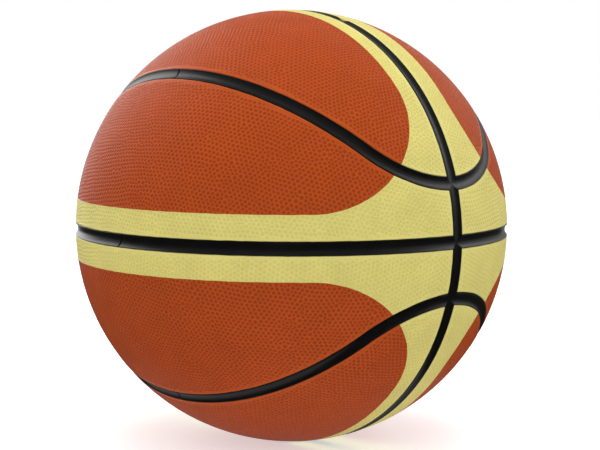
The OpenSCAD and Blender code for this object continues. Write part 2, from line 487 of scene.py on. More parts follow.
def channel_section():
    """The closed outline of a strip, up from the ball's surface and across, with round lips."""
    lip = LIP_W / 2
    lip_middle = STRIP_W / 2 - lip
    slope = 2 * math.degrees(math.atan(HOLLOW_DEPTH / lip_middle))
    hollow_r = lip_middle / math.sin(math.radians(slope)) - lip
    hollow_middle = hollow_r - HOLLOW_DEPTH
    right = round_corner((lip_middle, -lip), lip, 0, 90 + slope, 9)
    hollow = round_corner((0, hollow_middle), hollow_r, -90 + slope, -90 - slope, 23)[1:-1]
    left = [(-x, y) for x, y in right[::-1]]
    flat = right + hollow + left
    top = [(up + math.sqrt(BALL**2 - across**2) - BALL, across) for across, up in flat]
    return [*top, (-COVER, -STRIP_W / 2), (-COVER, 0), (-COVER, STRIP_W / 2)]


def line_mesh(name, points, closed):
    """A mesh that is one line of edges through points."""
    count = len(points)
    edges = [(step, (step + 1) % count) for step in range(count if closed else count - 1)]
    mesh = bpy.data.meshes.new(name)
    mesh.from_pydata([tuple(point) for point in points], edges, [])
    return mesh


def smooth_by_angle(tree, mesh, angle):
    """Shades a mesh smooth, with the edges sharp that fold by more than an angle."""
    smooth = result_of(tree, "GeometryNodeSetShadeSmooth", {"Geometry": mesh}, domain="FACE")
    fold = add_node(tree, "GeometryNodeInputMeshEdgeAngle").outputs["Unsigned Angle"]
    sharp = math_node(tree, "GREATER_THAN", fold, angle)
    inputs = {"Geometry": smooth, "Selection": sharp, "Shade Smooth": False}
    return result_of(tree, "GeometryNodeSetShadeSmooth", inputs, domain="EDGE")


def vector_math(tree, operation, *values):
    """The result of a Vector Math node on values or sockets."""
    node = tree.nodes.new("ShaderNodeVectorMath")
    node.operation = operation
    sockets = [node.inputs[0], node.inputs["Scale"] if operation == "SCALE" else node.inputs[1]]
    for socket, value in zip(sockets, values):
        if isinstance(value, bpy.types.NodeSocket):
            tree.links.new(value, socket)
        else:
            socket.default_value = value
    return node.outputs["Value" if operation in ("LENGTH", "DISTANCE") else "Vector"]


def named_value(tree, name):
    """The values of a named attribute."""
    return result_of(tree, "GeometryNodeInputNamedAttribute", {"Name": name})


def set_place(tree, geometry, **inputs):
    """Moves a geometry's points to a Position or by an Offset, all of them or a Selection."""
    return result_of(tree, "GeometryNodeSetPosition", {"Geometry": geometry, **inputs})


def end_tree(tree, geometry, material, made):
    """Ends a tree with real geometry in place of instances, and with its material."""
    real = result_of(tree, "GeometryNodeRealizeInstances", {"Geometry": geometry})
    inputs = {"Geometry": real, "Material": material}
    tree.links.new(result_of(tree, "GeometryNodeSetMaterial", inputs), made)


def strip_tree():
    """Sweeps a strip's outline along its path, upright on the ball, and sinks its joint."""
    tree, given, made = new_group(
        "channel_strip",
        "GeometryNodeTree",
        {
            "Path": "Geometry",
            "Outline": "Object",
            "Joint Width": 0.5 * MM,
            "Joint Depth": 0.8 * MM,
            "Joint Slant": 0.2,
            "Joint Place": 0.0,
            "Material": "Material",
        },
        {"Strip": "Geometry"},
    )
    place = result_of(tree, "GeometryNodeInputPosition")
    outwards = vector_math(tree, "NORMALIZE", place)
    x, y = add_node(tree, "ShaderNodeSeparateXYZ", {0: place}).outputs[:2]
    path = result_of(tree, "GeometryNodeMeshToCurve", {"Mesh": given["Path"]})
    upright = {"Curve": path, "Normal": outwards}
    path = result_of(tree, "GeometryNodeSetCurveNormal", upright, mode="FREE")
    outline = add_node(tree, "GeometryNodeObjectInfo", {"Object": given["Outline"]})
    outline = result_of(tree, "GeometryNodeMeshToCurve", {"Mesh": outline.outputs["Geometry"]})
    widths = {"Geometry": outline, "Name": "across", "Value": y}
    outline = result_of(tree, "GeometryNodeStoreNamedAttribute", widths)
    sweep = {"Curve": path, "Profile Curve": outline, "Fill Caps": True}
    strip = result_of(tree, "GeometryNodeCurveToMesh", sweep)
    strip = result_of(tree, "GeometryNodeFlipFaces", {"Mesh": strip})
    slant = math_node(tree, "MULTIPLY", named_value(tree, "across"), given["Joint Slant"])
    along = math_node(tree, "ADD", x, slant)
    along = math_node(tree, "SUBTRACT", along, given["Joint Place"])
    away = math_node(tree, "DIVIDE", math_node(tree, "ABSOLUTE", along), given["Joint Width"])
    nearness = math_node(tree, "SUBTRACT", 1, away, clamp=True)
    sink = math_node(tree, "MULTIPLY", nearness, math_node(tree, "MULTIPLY", given["Joint Depth"], -1))
    strip = set_place(tree, strip, Offset=vector_math(tree, "SCALE", outwards, sink))
    end_tree(tree, smooth_by_angle(tree, strip, SHARP_FOLD), given["Material"], made["Strip"])
    return tree


def apply_tree(tree, name, base, values):
    """Runs a tree on a base mesh and returns the result as a plain mesh."""
    carrier = add_object(name, base)
    modifier = carrier.modifiers.new(tree.name, "NODES")
    modifier.node_group = tree
    for item in tree.interface.items_tree:
        if item.name in values:
            modifier[item.identifier] = values[item.name]
    carrier.update_tag()
    evaluated = carrier.evaluated_get(bpy.context.evaluated_depsgraph_get())
    mesh = bpy.data.meshes.new_from_object(evaluated)
    carrier.modifiers.remove(modifier)
    bpy.data.objects.remove(carrier)
    mesh.name = name
    return mesh


def read_places(mesh):
    """The places of a mesh's points, one row each."""
    places = np.zeros(len(mesh.vertices) * 3)
    mesh.vertices.foreach_get("co", places)
    return places.reshape(-1, 3)


def trim_ends(mesh):
    """Moves the end of a strip to where it meets the side of the meridian strip."""
    places = read_places(mesh)
    beyond = np.abs(places[:, 1]) < STRIP_END
    side = np.sign(places[len(places) // 2, 1])
    places[beyond, 1] = side * STRIP_END
    mesh.vertices.foreach_set("co", places.ravel())


def open_crossings(mesh):
    """Runs the hollows of the crossing channels through the meridian strip."""
    places = read_places(mesh)
    radius = np.linalg.norm(places, axis=1)
    x, z = np.abs(places[:, 0]) / radius, np.abs(places[:, 2]) / radius
    to_middle = np.arccos(np.clip(x * math.cos(CHANNEL_LEAN) + z * math.sin(CHANNEL_LEAN), -1, 1))
    from_equator = BALL * np.arcsin(z)
    from_turn = BALL * np.abs(to_middle - CHANNEL_TURN)
    section = channel_section()[:-3][::-1]
    up, across = [spot[0] for spot in section], [spot[1] for spot in section]
    floor = np.minimum(*(np.interp(away, across, up) for away in (from_equator, from_turn)))
    far = np.minimum(from_equator, from_turn) > CROSSING_W / 2
    level = np.where(far, radius, np.minimum(radius, BALL + floor))
    places *= (level / radius)[:, None]
    mesh.vertices.foreach_set("co", places.ravel())


CHANNEL_RUBBER = rubber_material(
    "channel_rubber", (0.002, 0.002, 0.002), (0.004, 0.004, 0.0036), 0.36, 0.35 * MM, 0.006 * MM)
STRIP_TREE = strip_tree()

# The signs that mirror the front's upper quarter to each of the four
QUARTERS = {
    "upper_front": (1, 1, 1),
    "upper_back": (1, -1, 1),
    "lower_front": (1, 1, -1),
    "lower_back": (1, -1, -1),
}

# How far each strip's joint slants across it, and where along x the joint is
JOINTS = {"meridian": (0.3, 0), "equator": (-0.47, -3.2 * MM), "upper": (-0.05, 0), "lower": (-0.2, 0)}
STRIP_PATHS = {"meridian_strip": meridian_path()}
for side in ("front", "back"):
    STRIP_PATHS["equator_strip_" + side] = equator_path() * QUARTERS["upper_" + side]
for quarter, signs in QUARTERS.items():
    STRIP_PATHS["curved_strip_" + quarter] = curved_path() * signs

outline_points = [(up, across, 0) for up, across in channel_section()]
outline_object = add_object("strip_outline", line_mesh("strip_outline", outline_points, True))
for node, path in STRIP_PATHS.items():
    name = node + "_moulded"
    path_mesh = line_mesh(name, path * BALL, node == "meridian_strip")
    slant, place = next(joint for part, joint in JOINTS.items() if part in node)
    mesh = apply_tree(STRIP_TREE, name, path_mesh, {
        "Outline": outline_object,
        "Joint Slant": slant,
        "Joint Place": place,
        "Material": CHANNEL_RUBBER,
    })
    if node == "meridian_strip":
        open_crossings(mesh)
    else:
        trim_ends(mesh)
    strip = link_piece(name, mesh)
    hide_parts(node)
bpy.data.objects.remove(outline_object)


# Leather panels
# Sixteen panels of pebbled composite leather, brown in the fields and cream along the straight
# channels. Each is cut out, thinned and pressed down at its edge, and glued on the carcass.

# How far the brown fields lie from the equator's plane, and on the front and the back from the
# meridian's plane, and the angle from the crossing to their tips
EQUATOR_W = 15.4 * MM
FIELDS = {"front": (13 * MM, 48.4 * MM / BALL), "back": (17.6 * MM, 49.9 * MM / BALL)}
SEAM_GAP = 0.04 * MM
HOLE_R = STEM_R + EDGE_GAP
RIM_SPOKES = 48

# Pebbles rise to their full height over a margin beside an edge, and one with less than the least
# share of its height stays flat.
PEBBLE_PITCH = 2.2 * MM
PEBBLE_HEIGHT = 0.24 * MM
PEBBLE_FOLD = math.radians(50)
CHANNEL_MARGIN = 2.4 * MM
SEAM_MARGIN = 0.8 * MM
LEAST_RELIEF = 0.02
MERGE_REACH = 0.001 * MM

# Edges are rolled down over these widths, with cuts at these shares of a width.
EDGE_ROLL = 0.5 * MM
SEAM_ROLL = 0.15 * MM
ROLL_SHARES = (0.15, 0.5, 1)

# What makes the pebbles and the cut edges uneven, with the waves' lengths in millimetres. Each
# panel turns the pebbles one step further, so that no two panels are alike.
LEATHER_SEED = 11
PANEL_TURN = 2.4
PEBBLE_SPREAD = 0.16
ROW_WAVES = 8
ROW_LENGTHS = (12, 30)
ROW_STRAIN = 0.07
CUT_WAVES = 7
CUT_LENGTHS = (3, 9)
CUT_HEIGHT = 0.022 * MM


def hand_cut():
    """The waves of a few millimetres that a hand-cut edge has, as directions and phases."""
    dice = np.random.default_rng(LEATHER_SEED)
    ways = dice.normal(size=(CUT_WAVES, 3))
    ways /= np.linalg.norm(ways, axis=1)[:, None]
    lengths = dice.uniform(*CUT_LENGTHS, size=(CUT_WAVES, 1)) * MM / BALL
    return ways * 2 * math.pi / lengths, dice.uniform(0, 2 * math.pi, CUT_WAVES)


WAVES = hand_cut()


def waviness(spots):
    """How far a hand-cut edge strays at spots."""
    ways, phases = WAVES
    return np.sin(spots @ ways.T + phases).sum(axis=1) * CUT_HEIGHT


def rounded_lune(spots, distance, lean, radius):
    """How far spots lie inside the area above both planes that lean 45 degrees to the front and to
    the back, each moved up by a distance, with the corners at +X and -X rounded by a circle."""
    x, y, z = np.abs(spots[:, 0]), spots[:, 1], spots[:, 2]
    side = math.asin(distance / BALL)
    end = turn_end(lean, side)
    sides = (z - np.abs(y)) / math.sqrt(2) * BALL - distance
    to_middle = np.arccos(np.clip(x * math.cos(lean) + z * math.sin(lean), -1, 1))
    turn = BALL * (radius - side - to_middle)
    return np.where(z * math.cos(end) < x * math.sin(end), turn, sides)


def before(spots):
    """How far spots lie in front of the meridian channel's edge."""
    return -spots[:, 1] * BALL - PANEL_EDGE + waviness(spots)


def above(spots):
    """How far spots lie above the equator channel's edge."""
    return spots[:, 2] * BALL - PANEL_EDGE + waviness(spots)


def pole_side(spots):
    """How far spots lie on the pole's side of the curved channel."""
    return rounded_lune(spots, PANEL_EDGE, CHANNEL_LEAN, CHANNEL_TURN) + waviness(spots)


def waist_side(spots):
    """How far spots lie on the equator's side of the curved channel."""
    return -rounded_lune(spots, -PANEL_EDGE, CHANNEL_LEAN, CHANNEL_TURN) + waviness(spots)


def field_corner(tip, side_z, side_y):
    """The circle that rounds a brown field's corner at +X: its angular radius and its middle. It
    passes +X at the angle tip and keeps the other two angles from the planes z = 0 and y = 0."""
    across = math.cos(2 * tip) - math.cos(2 * side_z) - math.cos(2 * side_y)
    along = math.sin(2 * tip) - math.sin(2 * side_z) - math.sin(2 * side_y)
    radius = math.pi - (math.acos(-1 / math.hypot(across, along)) + math.atan2(along, across)) / 2
    return radius, (math.cos(radius + tip), -math.sin(radius + side_y), math.sin(radius + side_z))


def brown_field(spots, side, inset):
    """How far spots lie inside the brown field of the front's upper quarter, smaller all round by an
    inset. The back's field, mirrored to the front, has its own width and tip."""
    meridian_w, tip = FIELDS[side]
    side_z, side_y = math.asin(EQUATOR_W / BALL), math.asin(meridian_w / BALL)
    radius, middle = field_corner(tip, side_z, side_y)
    heading, rise = math.atan2(middle[1], middle[0]), math.atan2(middle[2], middle[0])
    level, upright = math.cos(side_z), math.cos(side_y)
    end_z = (level * math.cos(heading), level * math.sin(heading), math.sin(side_z))
    end_y = (upright * math.cos(rise), -math.sin(side_y), upright * math.sin(rise))
    one_end = np.stack([np.abs(spots[:, 0]), spots[:, 1], spots[:, 2]], axis=1)
    sides = np.minimum(spots[:, 2] * BALL - EQUATOR_W, -spots[:, 1] * BALL - meridian_w)
    turn = BALL * (radius - np.arccos(np.clip(one_end @ middle, -1, 1)))
    at_corner = one_end @ np.cross(end_y, end_z) > 0
    return np.where(at_corner, turn, sides) - inset + waviness(spots)


def field_edge(side, sense):
    """How far spots lie inside a side's brown fields for a sense of 1, and outside them for -1."""
    return lambda spots: sense * brown_field(spots, side, sense * SEAM_GAP / 2)


def off_valve(spots):
    """How far spots lie outside the hole for the valve, in the quarter that holds it."""
    axis = np.array(VALVE_AXIS) * QUARTERS["lower_back"]
    return BALL * np.arccos(np.clip(spots @ axis, -1, 1)) - HOLE_R


# Each kind of panel has its edges at channels, and its side of the seam between brown and cream.
PANEL_EDGES = {
    "crown_brown": ((before, pole_side), 1),
    "crown_cream": ((before, pole_side), -1),
    "waist_brown": ((waist_side,), 1),
    "waist_cream": ((before, above, waist_side), -1),
}


def neighbours(points):
    """The triangles between points on the ball, from a map of it that has its hole at -X."""
    flat = points[:, 1:] / (1 + points[:, :1])
    found = delaunay_2d_cdt([Vector(spot) for spot in flat.tolist()], [], [], 0, 1e-12)
    return np.array(found[2])


def spots_of(items):
    """The directions of places as unit vectors."""
    places = np.array(items).reshape(-1, 3)
    return places / np.linalg.norm(places, axis=1)[:, None]


def icosahedron_net(count):
    """Points in rows of triangles on the 20 faces of an icosahedron, count rows to a face. The rows
    lie at even angles along a face's edge, which is the arc tangent of 2 long."""
    solid = bmesh.new()
    bmesh.ops.create_icosphere(solid, subdivisions=1, radius=1)
    faces = np.array([[vert.co for vert in face.verts] for face in solid.faces])
    solid.free()
    first, second = np.meshgrid(np.arange(count + 1), np.arange(count + 1))
    kept = first + second <= count
    rows = np.stack([first[kept], second[kept], count - first[kept] - second[kept]], axis=1)
    shares = np.sin(rows / count * math.atan(2))
    points = spots_of(np.einsum("rk,fkc->rfc", shares, faces))
    return points[np.unique(points.round(6), axis=0, return_index=True)[1]]


def pebble_points():
    """The middles of the pebbles: a net whose rows long waves bend and a seeded scatter breaks up.
    Then each point moves to the middle of the triangles round it, which evens out their areas."""
    dice = np.random.default_rng(LEATHER_SEED)
    # A net of n rows has 10 n^2 points, and each takes the area of a hexagon one pitch across.
    points = icosahedron_net(round(BALL / PEBBLE_PITCH * math.sqrt(4 * math.pi / math.sqrt(75))))
    for _ in range(ROW_WAVES):
        length = dice.uniform(*ROW_LENGTHS) * MM / BALL
        way, push = spots_of(dice.normal(size=(2, 3)))
        shift = np.sin(points @ way * 2 * math.pi / length + dice.uniform(0, 2 * math.pi))
        points = spots_of(points + shift[:, None] * push * ROW_STRAIN * length / (2 * math.pi))
    points = spots_of(points + dice.normal(size=points.shape) * PEBBLE_SPREAD * PEBBLE_PITCH / BALL)
    triangles = neighbours(points)
    first, second, third = (points[triangles[:, corner]] for corner in range(3))
    area = np.linalg.norm(np.cross(second - first, third - first), axis=1)[:, None]
    total = np.zeros_like(points)
    for corner in range(3):
        np.add.at(total, triangles[:, corner], (first + second + third) * area)
    return spots_of(total)


def cell_tree():
    """Turns a net of triangles between pebbles into one face for each pebble, on a ball."""
    tree, given, made = new_group(
        "pebble_cells",
        "GeometryNodeTree",
        {"Net": "Geometry", "Radius": BALL, "Material": "Material"},
        {"Cells": "Geometry"},
    )
    cells = result_of(tree, "GeometryNodeDualMesh", {"Mesh": given["Net"]})
    outwards = vector_math(tree, "NORMALIZE", result_of(tree, "GeometryNodeInputPosition"))
    cells = set_place(tree, cells, Position=vector_math(tree, "SCALE", outwards, given["Radius"]))
    end_tree(tree, cells, given["Material"], made["Cells"])
    return tree


def pebble_cells():
    """The corners of all pebbles as unit vectors, their numbers face by face, and each face's start."""
    points = pebble_points()
    net = bpy.data.meshes.new("pebble_net")
    net.from_pydata((points * BALL).tolist(), [], neighbours(points).tolist())
    cells = apply_tree(cell_tree(), "pebble_cells", net, {})
    numbers = np.zeros(len(cells.loops), int)
    cells.loops.foreach_get("vertex_index", numbers)
    starts = np.zeros(len(cells.polygons), int)
    cells.polygons.foreach_get("loop_start", starts)
    return spots_of(read_places(cells)), numbers, starts


CELLS = pebble_cells()


def cut_along(sheet, distance, level, drop):
    """Cuts a sheet where a distance from an edge has a level, and drops what lies outside."""
    values = distance(spots_of([vert.co for vert in sheet.verts])) - level
    sheet.verts.index_update()
    crossed = [
        edge for edge in sheet.edges
        if values[edge.verts[0].index] * values[edge.verts[1].index] < 0
    ]
    if crossed:
        start = np.array([edge.verts[0].co for edge in crossed])
        step = np.array([edge.verts[1].co for edge in crossed]) - start
        first = values[[edge.verts[0].index for edge in crossed]]
        last = values[[edge.verts[1].index for edge in crossed]]
        share = first / (first - last)
        for _ in range(3):
            miss = distance(spots_of(start + step * share[:, None])) - level
            share = np.clip(share - miss / (last - first), 0.001, 0.999)
        places = start + step * share[:, None]
        new = []
        for edge, place in zip(crossed, places):
            vert = bmesh.utils.edge_split(edge, edge.verts[0], 0.5)[1]
            vert.co = place
            new.append(vert)
        bmesh.ops.connect_verts(sheet, verts=new)
    if drop:
        middles = distance(spots_of([face.calc_center_median() for face in sheet.faces])) - level
        outside = [face for face, value in zip(sheet.faces[:], middles) if value < 0]
        bmesh.ops.delete(sheet, geom=outside, context="FACES")


def round_rim(sheet):
    """Makes the rim of the valve's hole round: cuts its rolled part along spokes from the valve's
    axis, and moves each new point out to the ring that it lies on."""
    across = VALVE_AXIS.orthogonal().normalized()
    beside = VALVE_AXIS.cross(across)
    reach = (HOLE_R + EDGE_ROLL) / BALL

    # The first spoke starts a little off the axis across, so that none runs through a point.
    for angle in np.arange(0.01, math.pi, 2 * math.pi / RIM_SPOKES):
        spoke = across * math.cos(angle) + beside * math.sin(angle)
        rim = {face for face in sheet.faces if face.calc_center_median().angle(VALVE_AXIS) < reach}
        edges = [edge for edge in sheet.edges if not rim.isdisjoint(edge.link_faces)]
        new = []
        for edge in edges:
            first, last = (vert.co.copy() for vert in edge.verts)
            if first.dot(spoke) * last.dot(spoke) >= 0:
                continue
            share = first.dot(spoke) / (first - last).dot(spoke)
            lean = first.angle(VALVE_AXIS) * (1 - share) + last.angle(VALVE_AXIS) * share
            vert = bmesh.utils.edge_split(edge, edge.verts[0], share)[1]
            outwards = first.lerp(last, share)
            outwards = (outwards - VALVE_AXIS * outwards.dot(VALVE_AXIS)).normalized()
            vert.co = (VALVE_AXIS * math.cos(lean) + outwards * math.sin(lean)) * BALL
            new.append(vert)
        bmesh.ops.connect_verts(sheet, verts=new)


def fade(values, start, end):
    """A smooth rise from 0 at start to 1 at end."""
    share = np.clip((values - start) / (end - start), 0, 1)
    return share * share * (3 - 2 * share)


def panel_sheet(name, channels, seam, signs, turn):
    """The pebbles of one panel as a sheet of faces, cut to its outline and along its rolled edge. Each
    point knows how far the edge drops there, and each face how high its pebble stands."""
    corners, numbers, starts = CELLS
    cosine, sine = math.cos(turn), math.sin(turn)
    spots = corners @ np.array([[1, 0, 0], [0, cosine, sine], [0, -sine, cosine]])

    # Edges are for the front's upper quarter, so each is asked about the spots mirrored to it.
    edges = [(lambda spots, edge=edge: edge(spots * signs)) for edge in (*channels, seam)]
    nearness = np.min([edge(spots) for edge in edges], axis=0)
    kept = np.flatnonzero(np.maximum.reduceat(nearness[numbers], starts) > -PEBBLE_PITCH / 4)
    ends = np.append(starts, len(numbers))
    used, faces = {}, []
    for face in kept:
        corners_here = numbers[ends[face]:ends[face + 1]].tolist()
        faces.append([used.setdefault(corner, len(used)) for corner in corners_here])
    mesh = bpy.data.meshes.new(name)
    mesh.from_pydata((spots[list(used)] * BALL).tolist(), [], faces)
    sheet = bmesh.new()
    sheet.from_mesh(mesh)
    for edge in edges:
        cut_along(sheet, edge, 0, True)
    rolls = [EDGE_ROLL] * len(channels) + [SEAM_ROLL]
    for edge, roll in zip(edges, rolls):
        for share in ROLL_SHARES:
            cut_along(sheet, edge, share * roll, False)
    if off_valve in channels:
        round_rim(sheet)
    sheet.to_mesh(mesh)
    sheet.free()

    # The drop of the rolled edge at each point, and the share of its height that each pebble has
    places = spots_of([vert.co for vert in mesh.vertices])
    middles = spots_of([face.center for face in mesh.polygons])
    drop = np.zeros(len(places))
    for edge, roll in zip(edges, rolls):
        inset = np.clip(1 - edge(places) / roll, 0, 1)
        drop = np.maximum(drop, roll * (1 - np.sqrt(1 - inset**2)))
    relief = np.ones(len(middles))
    for number, edge in enumerate(edges):
        margin = CHANNEL_MARGIN if number < len(channels) else SEAM_MARGIN
        relief *= fade(edge(middles), rolls[number], rolls[number] + margin)
    mesh.attributes.new("edge_drop", "FLOAT", "POINT").data.foreach_set("value", drop)
    mesh.attributes.new("relief", "FLOAT", "FACE").data.foreach_set("value", relief)
    return mesh


def panel_tree():
    """Thickens a sheet of pebbles to a closed panel, rolls its edge down and raises each pebble."""
    tree, given, made = new_group(
        "leather_panel",
        "GeometryNodeTree",
        {
            "Sheet": "Geometry",
            "Radius": BALL,
            "Thickness": COVER,
            "Pebble Height": PEBBLE_HEIGHT,
            "Shoulder": 0.72,
            "Top": 0.5,
            "Material": "Material",
        },
        {"Panel": "Geometry"},
    )
    outwards = vector_math(tree, "NORMALIZE", result_of(tree, "GeometryNodeInputPosition"))
    relief = named_value(tree, "relief")
    height = math_node(tree, "MULTIPLY", relief, given["Pebble Height"])

    # The back of the panel, and on it the front, which the extrusion makes with the panel's walls
    under = math_node(tree, "SUBTRACT", given["Radius"], given["Thickness"])
    back = set_place(tree, given["Sheet"], Position=vector_math(tree, "SCALE", outwards, under))
    lifted = add_node(
        tree, "GeometryNodeExtrudeMesh", {"Mesh": back, "Offset Scale": 0, "Individual": False})
    front = lifted.outputs["Top"]
    drop = math_node(tree, "ADD", named_value(tree, "edge_drop"), height)
    level = math_node(tree, "SUBTRACT", given["Radius"], drop)
    on_top = vector_math(tree, "SCALE", outwards, level)
    shell = set_place(tree, lifted.outputs["Mesh"], Selection=front, Position=on_top)
    joined = tree.nodes.new("GeometryNodeJoinGeometry")
    turned_back = result_of(tree, "GeometryNodeFlipFaces", {"Mesh": back})
    for part in (shell, turned_back):
        tree.links.new(part, joined.inputs[0])
    inputs = {"Geometry": joined.outputs[0], "Distance": MERGE_REACH}
    closed = result_of(tree, "GeometryNodeMergeByDistance", inputs)

    # What the leather's material reads: the middle and the size of each face's pebble
    area = result_of(tree, "GeometryNodeInputMeshFaceArea")
    size = math_node(tree, "SQRT", math_node(tree, "DIVIDE", area, math.pi))
    for name, kind, value in (
        ("pebble_middle", "FLOAT_VECTOR", outwards),
        ("pebble_size", "FLOAT", size),
    ):
        closed = result_of(
            tree,
            "GeometryNodeStoreNamedAttribute",
            {"Geometry": closed, "Name": name, "Value": value},
            data_type=kind,
            domain="FACE",
        )

    # Each pebble: a shoulder and on it a smaller top
    standing = math_node(tree, "GREATER_THAN", relief, LEAST_RELIEF)
    chosen = math_node(tree, "MULTIPLY", standing, front)
    pebbled = closed
    for label, share in (("Shoulder", 0.6), ("Top", 0.4)):
        raised = add_node(
            tree,
            "GeometryNodeExtrudeMesh",
            {"Mesh": pebbled, "Selection": chosen, "Offset Scale": 0, "Individual": True},
        )
        chosen = raised.outputs["Top"]
        smaller = {"Geometry": raised.outputs["Mesh"], "Selection": chosen, "Scale": given[label]}
        pebbled = result_of(tree, "GeometryNodeScaleElements", smaller)
        rise = vector_math(tree, "SCALE", outwards, math_node(tree, "MULTIPLY", height, share))
        pebbled = set_place(tree, pebbled, Selection=chosen, Offset=rise)

    end_tree(tree, smooth_by_angle(tree, pebbled, PEBBLE_FOLD), given["Material"], made["Panel"])
    return tree


def pebble_grain():
    """The grain of pebbled leather: a round mask on each pebble, its domed height with fine creases, a
    roughness that is lower on the polished tops than in the valleys, and a cloudiness of the dye."""
    tree, given, made = new_group(
        "pebble_grain",
        "ShaderNodeTree",
        {
            "Dot Start": 0.95,
            "Dot End": 0.38,
            "Crease Size": 0.35 * MM,
            "Cloud Size": 14 * MM,
            "Top Roughness": 0.34,
            "Valley Roughness": 0.62,
        },
        {"Dot": "Float", "Roughness": "Float", "Height": "Float", "Cloud": "Float"},
    )
    place = add_node(tree, "ShaderNodeTexCoord").outputs["Object"]
    middle = add_node(tree, "ShaderNodeAttribute", attribute_name="pebble_middle").outputs["Vector"]
    size = add_node(tree, "ShaderNodeAttribute", attribute_name="pebble_size").outputs["Fac"]
    relief = add_node(tree, "ShaderNodeAttribute", attribute_name="relief").outputs["Fac"]
    outwards = vector_math(tree, "NORMALIZE", place)
    away = math_node(tree, "MULTIPLY", vector_math(tree, "DISTANCE", outwards, middle), BALL)
    share = math_node(tree, "DIVIDE", away, size)
    dot = map_range(
        tree, share, (given["Dot Start"], given["Dot End"]), interpolation_type="SMOOTHSTEP")
    dot = math_node(tree, "MULTIPLY", dot, relief)
    tree.links.new(dot, made["Dot"])
    valley = math_node(tree, "SUBTRACT", relief, dot)
    rough = map_range(tree, valley, (0, 1), (given["Top Roughness"], given["Valley Roughness"]))
    tree.links.new(rough, made["Roughness"])
    creases = sized_noise(tree, place, given["Crease Size"], 2)
    height = math_node(tree, "ADD", dot, math_node(tree, "MULTIPLY", creases, 0.25))
    tree.links.new(height, made["Height"])
    tree.links.new(sized_noise(tree, place, given["Cloud Size"], 3), made["Cloud"])
    return tree


GRAIN = pebble_grain()


def leather_material(name, valley, top):
    """Pebbled leather in a cloudy dye, with its pebble tops coloured darker than the valleys between
    them: painted shade on the tops, which stands for their reflection of the dark room, and a painted
    sheen in the valleys.
    """
    material, tree, shader = new_material(name, IOR=1.26)
    grain = add_node(tree, "ShaderNodeGroup", node_tree=GRAIN).outputs
    # The darker pebble tops are painted shade and the lighter valleys a painted sheen; the cloud below
    # is the dye's own uneven tone.
    pebbles = blend_colours(tree, grain["Dot"], valley, top)
    cloud = map_range(tree, grain["Cloud"], (0.25, 0.75), (0.94, 1.06))
    cloudy_dye_and_painted_shade = result_of(tree, "ShaderNodeHueSaturation", {"Color": pebbles, "Value": cloud})
    tree.links.new(cloudy_dye_and_painted_shade, shader.inputs["Base Color"])
    tree.links.new(grain["Roughness"], shader.inputs["Roughness"])
    add_bump(tree, shader, grain["Height"], 0.05 * MM)
    return material


# Each leather's first colour is its valleys' with a painted sheen, and its second its pebble tops' with
# painted shade.
LEATHERS = {
    "brown": leather_material("brown_leather", (0.43, 0.068, 0.006), (0.303, 0.0325, 0.0005)),
    "cream": leather_material("cream_leather", (0.68, 0.605, 0.19), (0.60, 0.525, 0.145)),
}
PANEL_TREE = panel_tree()

kinds_and_quarters = [(kind, quarter) for kind in PANEL_EDGES for quarter in QUARTERS]
for number, (kind, quarter) in enumerate(kinds_and_quarters, 1):
    node = kind + "_" + quarter
    channels, sense = PANEL_EDGES[kind]
    if node == "crown_brown_lower_back":
        channels = (*channels, off_valve)
    colour = kind.split("_")[1]
    seam = field_edge(quarter.split("_")[1], sense)
    sheet = panel_sheet(node + "_leather", channels, seam, QUARTERS[quarter], number * PANEL_TURN)
    mesh = apply_tree(PANEL_TREE, node + "_leather", sheet, {"Material": LEATHERS[colour]})
    panel = link_piece(node + "_leather", mesh)
    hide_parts(node)


# Studio
# The ball stands on a white floor under soft boxes, in front of a white background. Grey and bright
# cards round it show only in gloss, and stand for the dark and the bright sides of the room.

FLOOR_R = 6
TABLE_INNER_R = 0.02
TABLE_OUTER_R = 1.77
TABLE_SWEEP = math.radians(300)
CARD_LIFT = 0.5 * MM
LAMP_LIFT = 1 * MM


def make_floor():
    """A white disc that the ball stands on."""
    shape = bmesh.new()
    bmesh.ops.create_circle(shape, cap_ends=True, segments=96, radius=FLOOR_R)
    bmesh.ops.translate(shape, verts=shape.verts, vec=(0, 0, -BALL))
    mesh = bpy.data.meshes.new("floor")
    shape.to_mesh(mesh)
    shape.free()
    floor = add_object("floor", mesh)
    return floor


def make_flag(name, corners, across, along, grey, glow=0):
    """A card that shows only in gloss: grey for the unlit side of the room, or one that glows."""
    spots = [corners(u / across, v / along) for v in range(along + 1) for u in range(across + 1)]
    faces = [
        (row + step, row + step + 1, row + step + across + 2, row + step + across + 1)
        for row in range(0, along * (across + 1), across + 1) for step in range(across)
    ]
    mesh = bpy.data.meshes.new(name)
    mesh.from_pydata(spots, [], faces)
    flag = add_object(name, mesh)
    for ray in ("camera", "diffuse", "transmission", "volume_scatter", "shadow"):
        setattr(flag, "visible_" + ray, False)
    material, tree, shader = new_material(
        name + "_cloth",
        Roughness=1,
        Specular_IOR_Level=0,
        Emission_Color=(1, 1, 1, 1),
        Emission_Strength=glow,
    )
    weave = result_of(tree, "ShaderNodeTexNoise", {"Scale": 400})
    shades = blend_colours(tree, weave, (grey * 0.8,) * 3, (grey * 1.2,) * 3)
    tree.links.new(shades, shader.inputs["Base Color"])
    mesh.materials.append(material)


def room_card(distance, turns, rises):
    """The places of a card bent round the ball, between two turns from +X and two rises, in degrees."""
    def place(u, v):
        turn = math.radians(turns[0] + (turns[1] - turns[0]) * u)
        rise = math.radians(rises[0] + (rises[1] - rises[0]) * v)
        level = distance * math.cos(rise)
        return level * math.cos(turn), level * math.sin(turn), distance * math.sin(rise)
    return place


def table_top(u, v):
    """A ring just above the floor round the ball, open behind it."""
    turn = math.atan2(CAMERA_PLACE.y, CAMERA_PLACE.x) + TABLE_SWEEP * (u - 0.5)
    radius = TABLE_INNER_R + (TABLE_OUTER_R - TABLE_INNER_R) * v
    return radius * math.cos(turn), radius * math.sin(turn), -BALL + CARD_LIFT


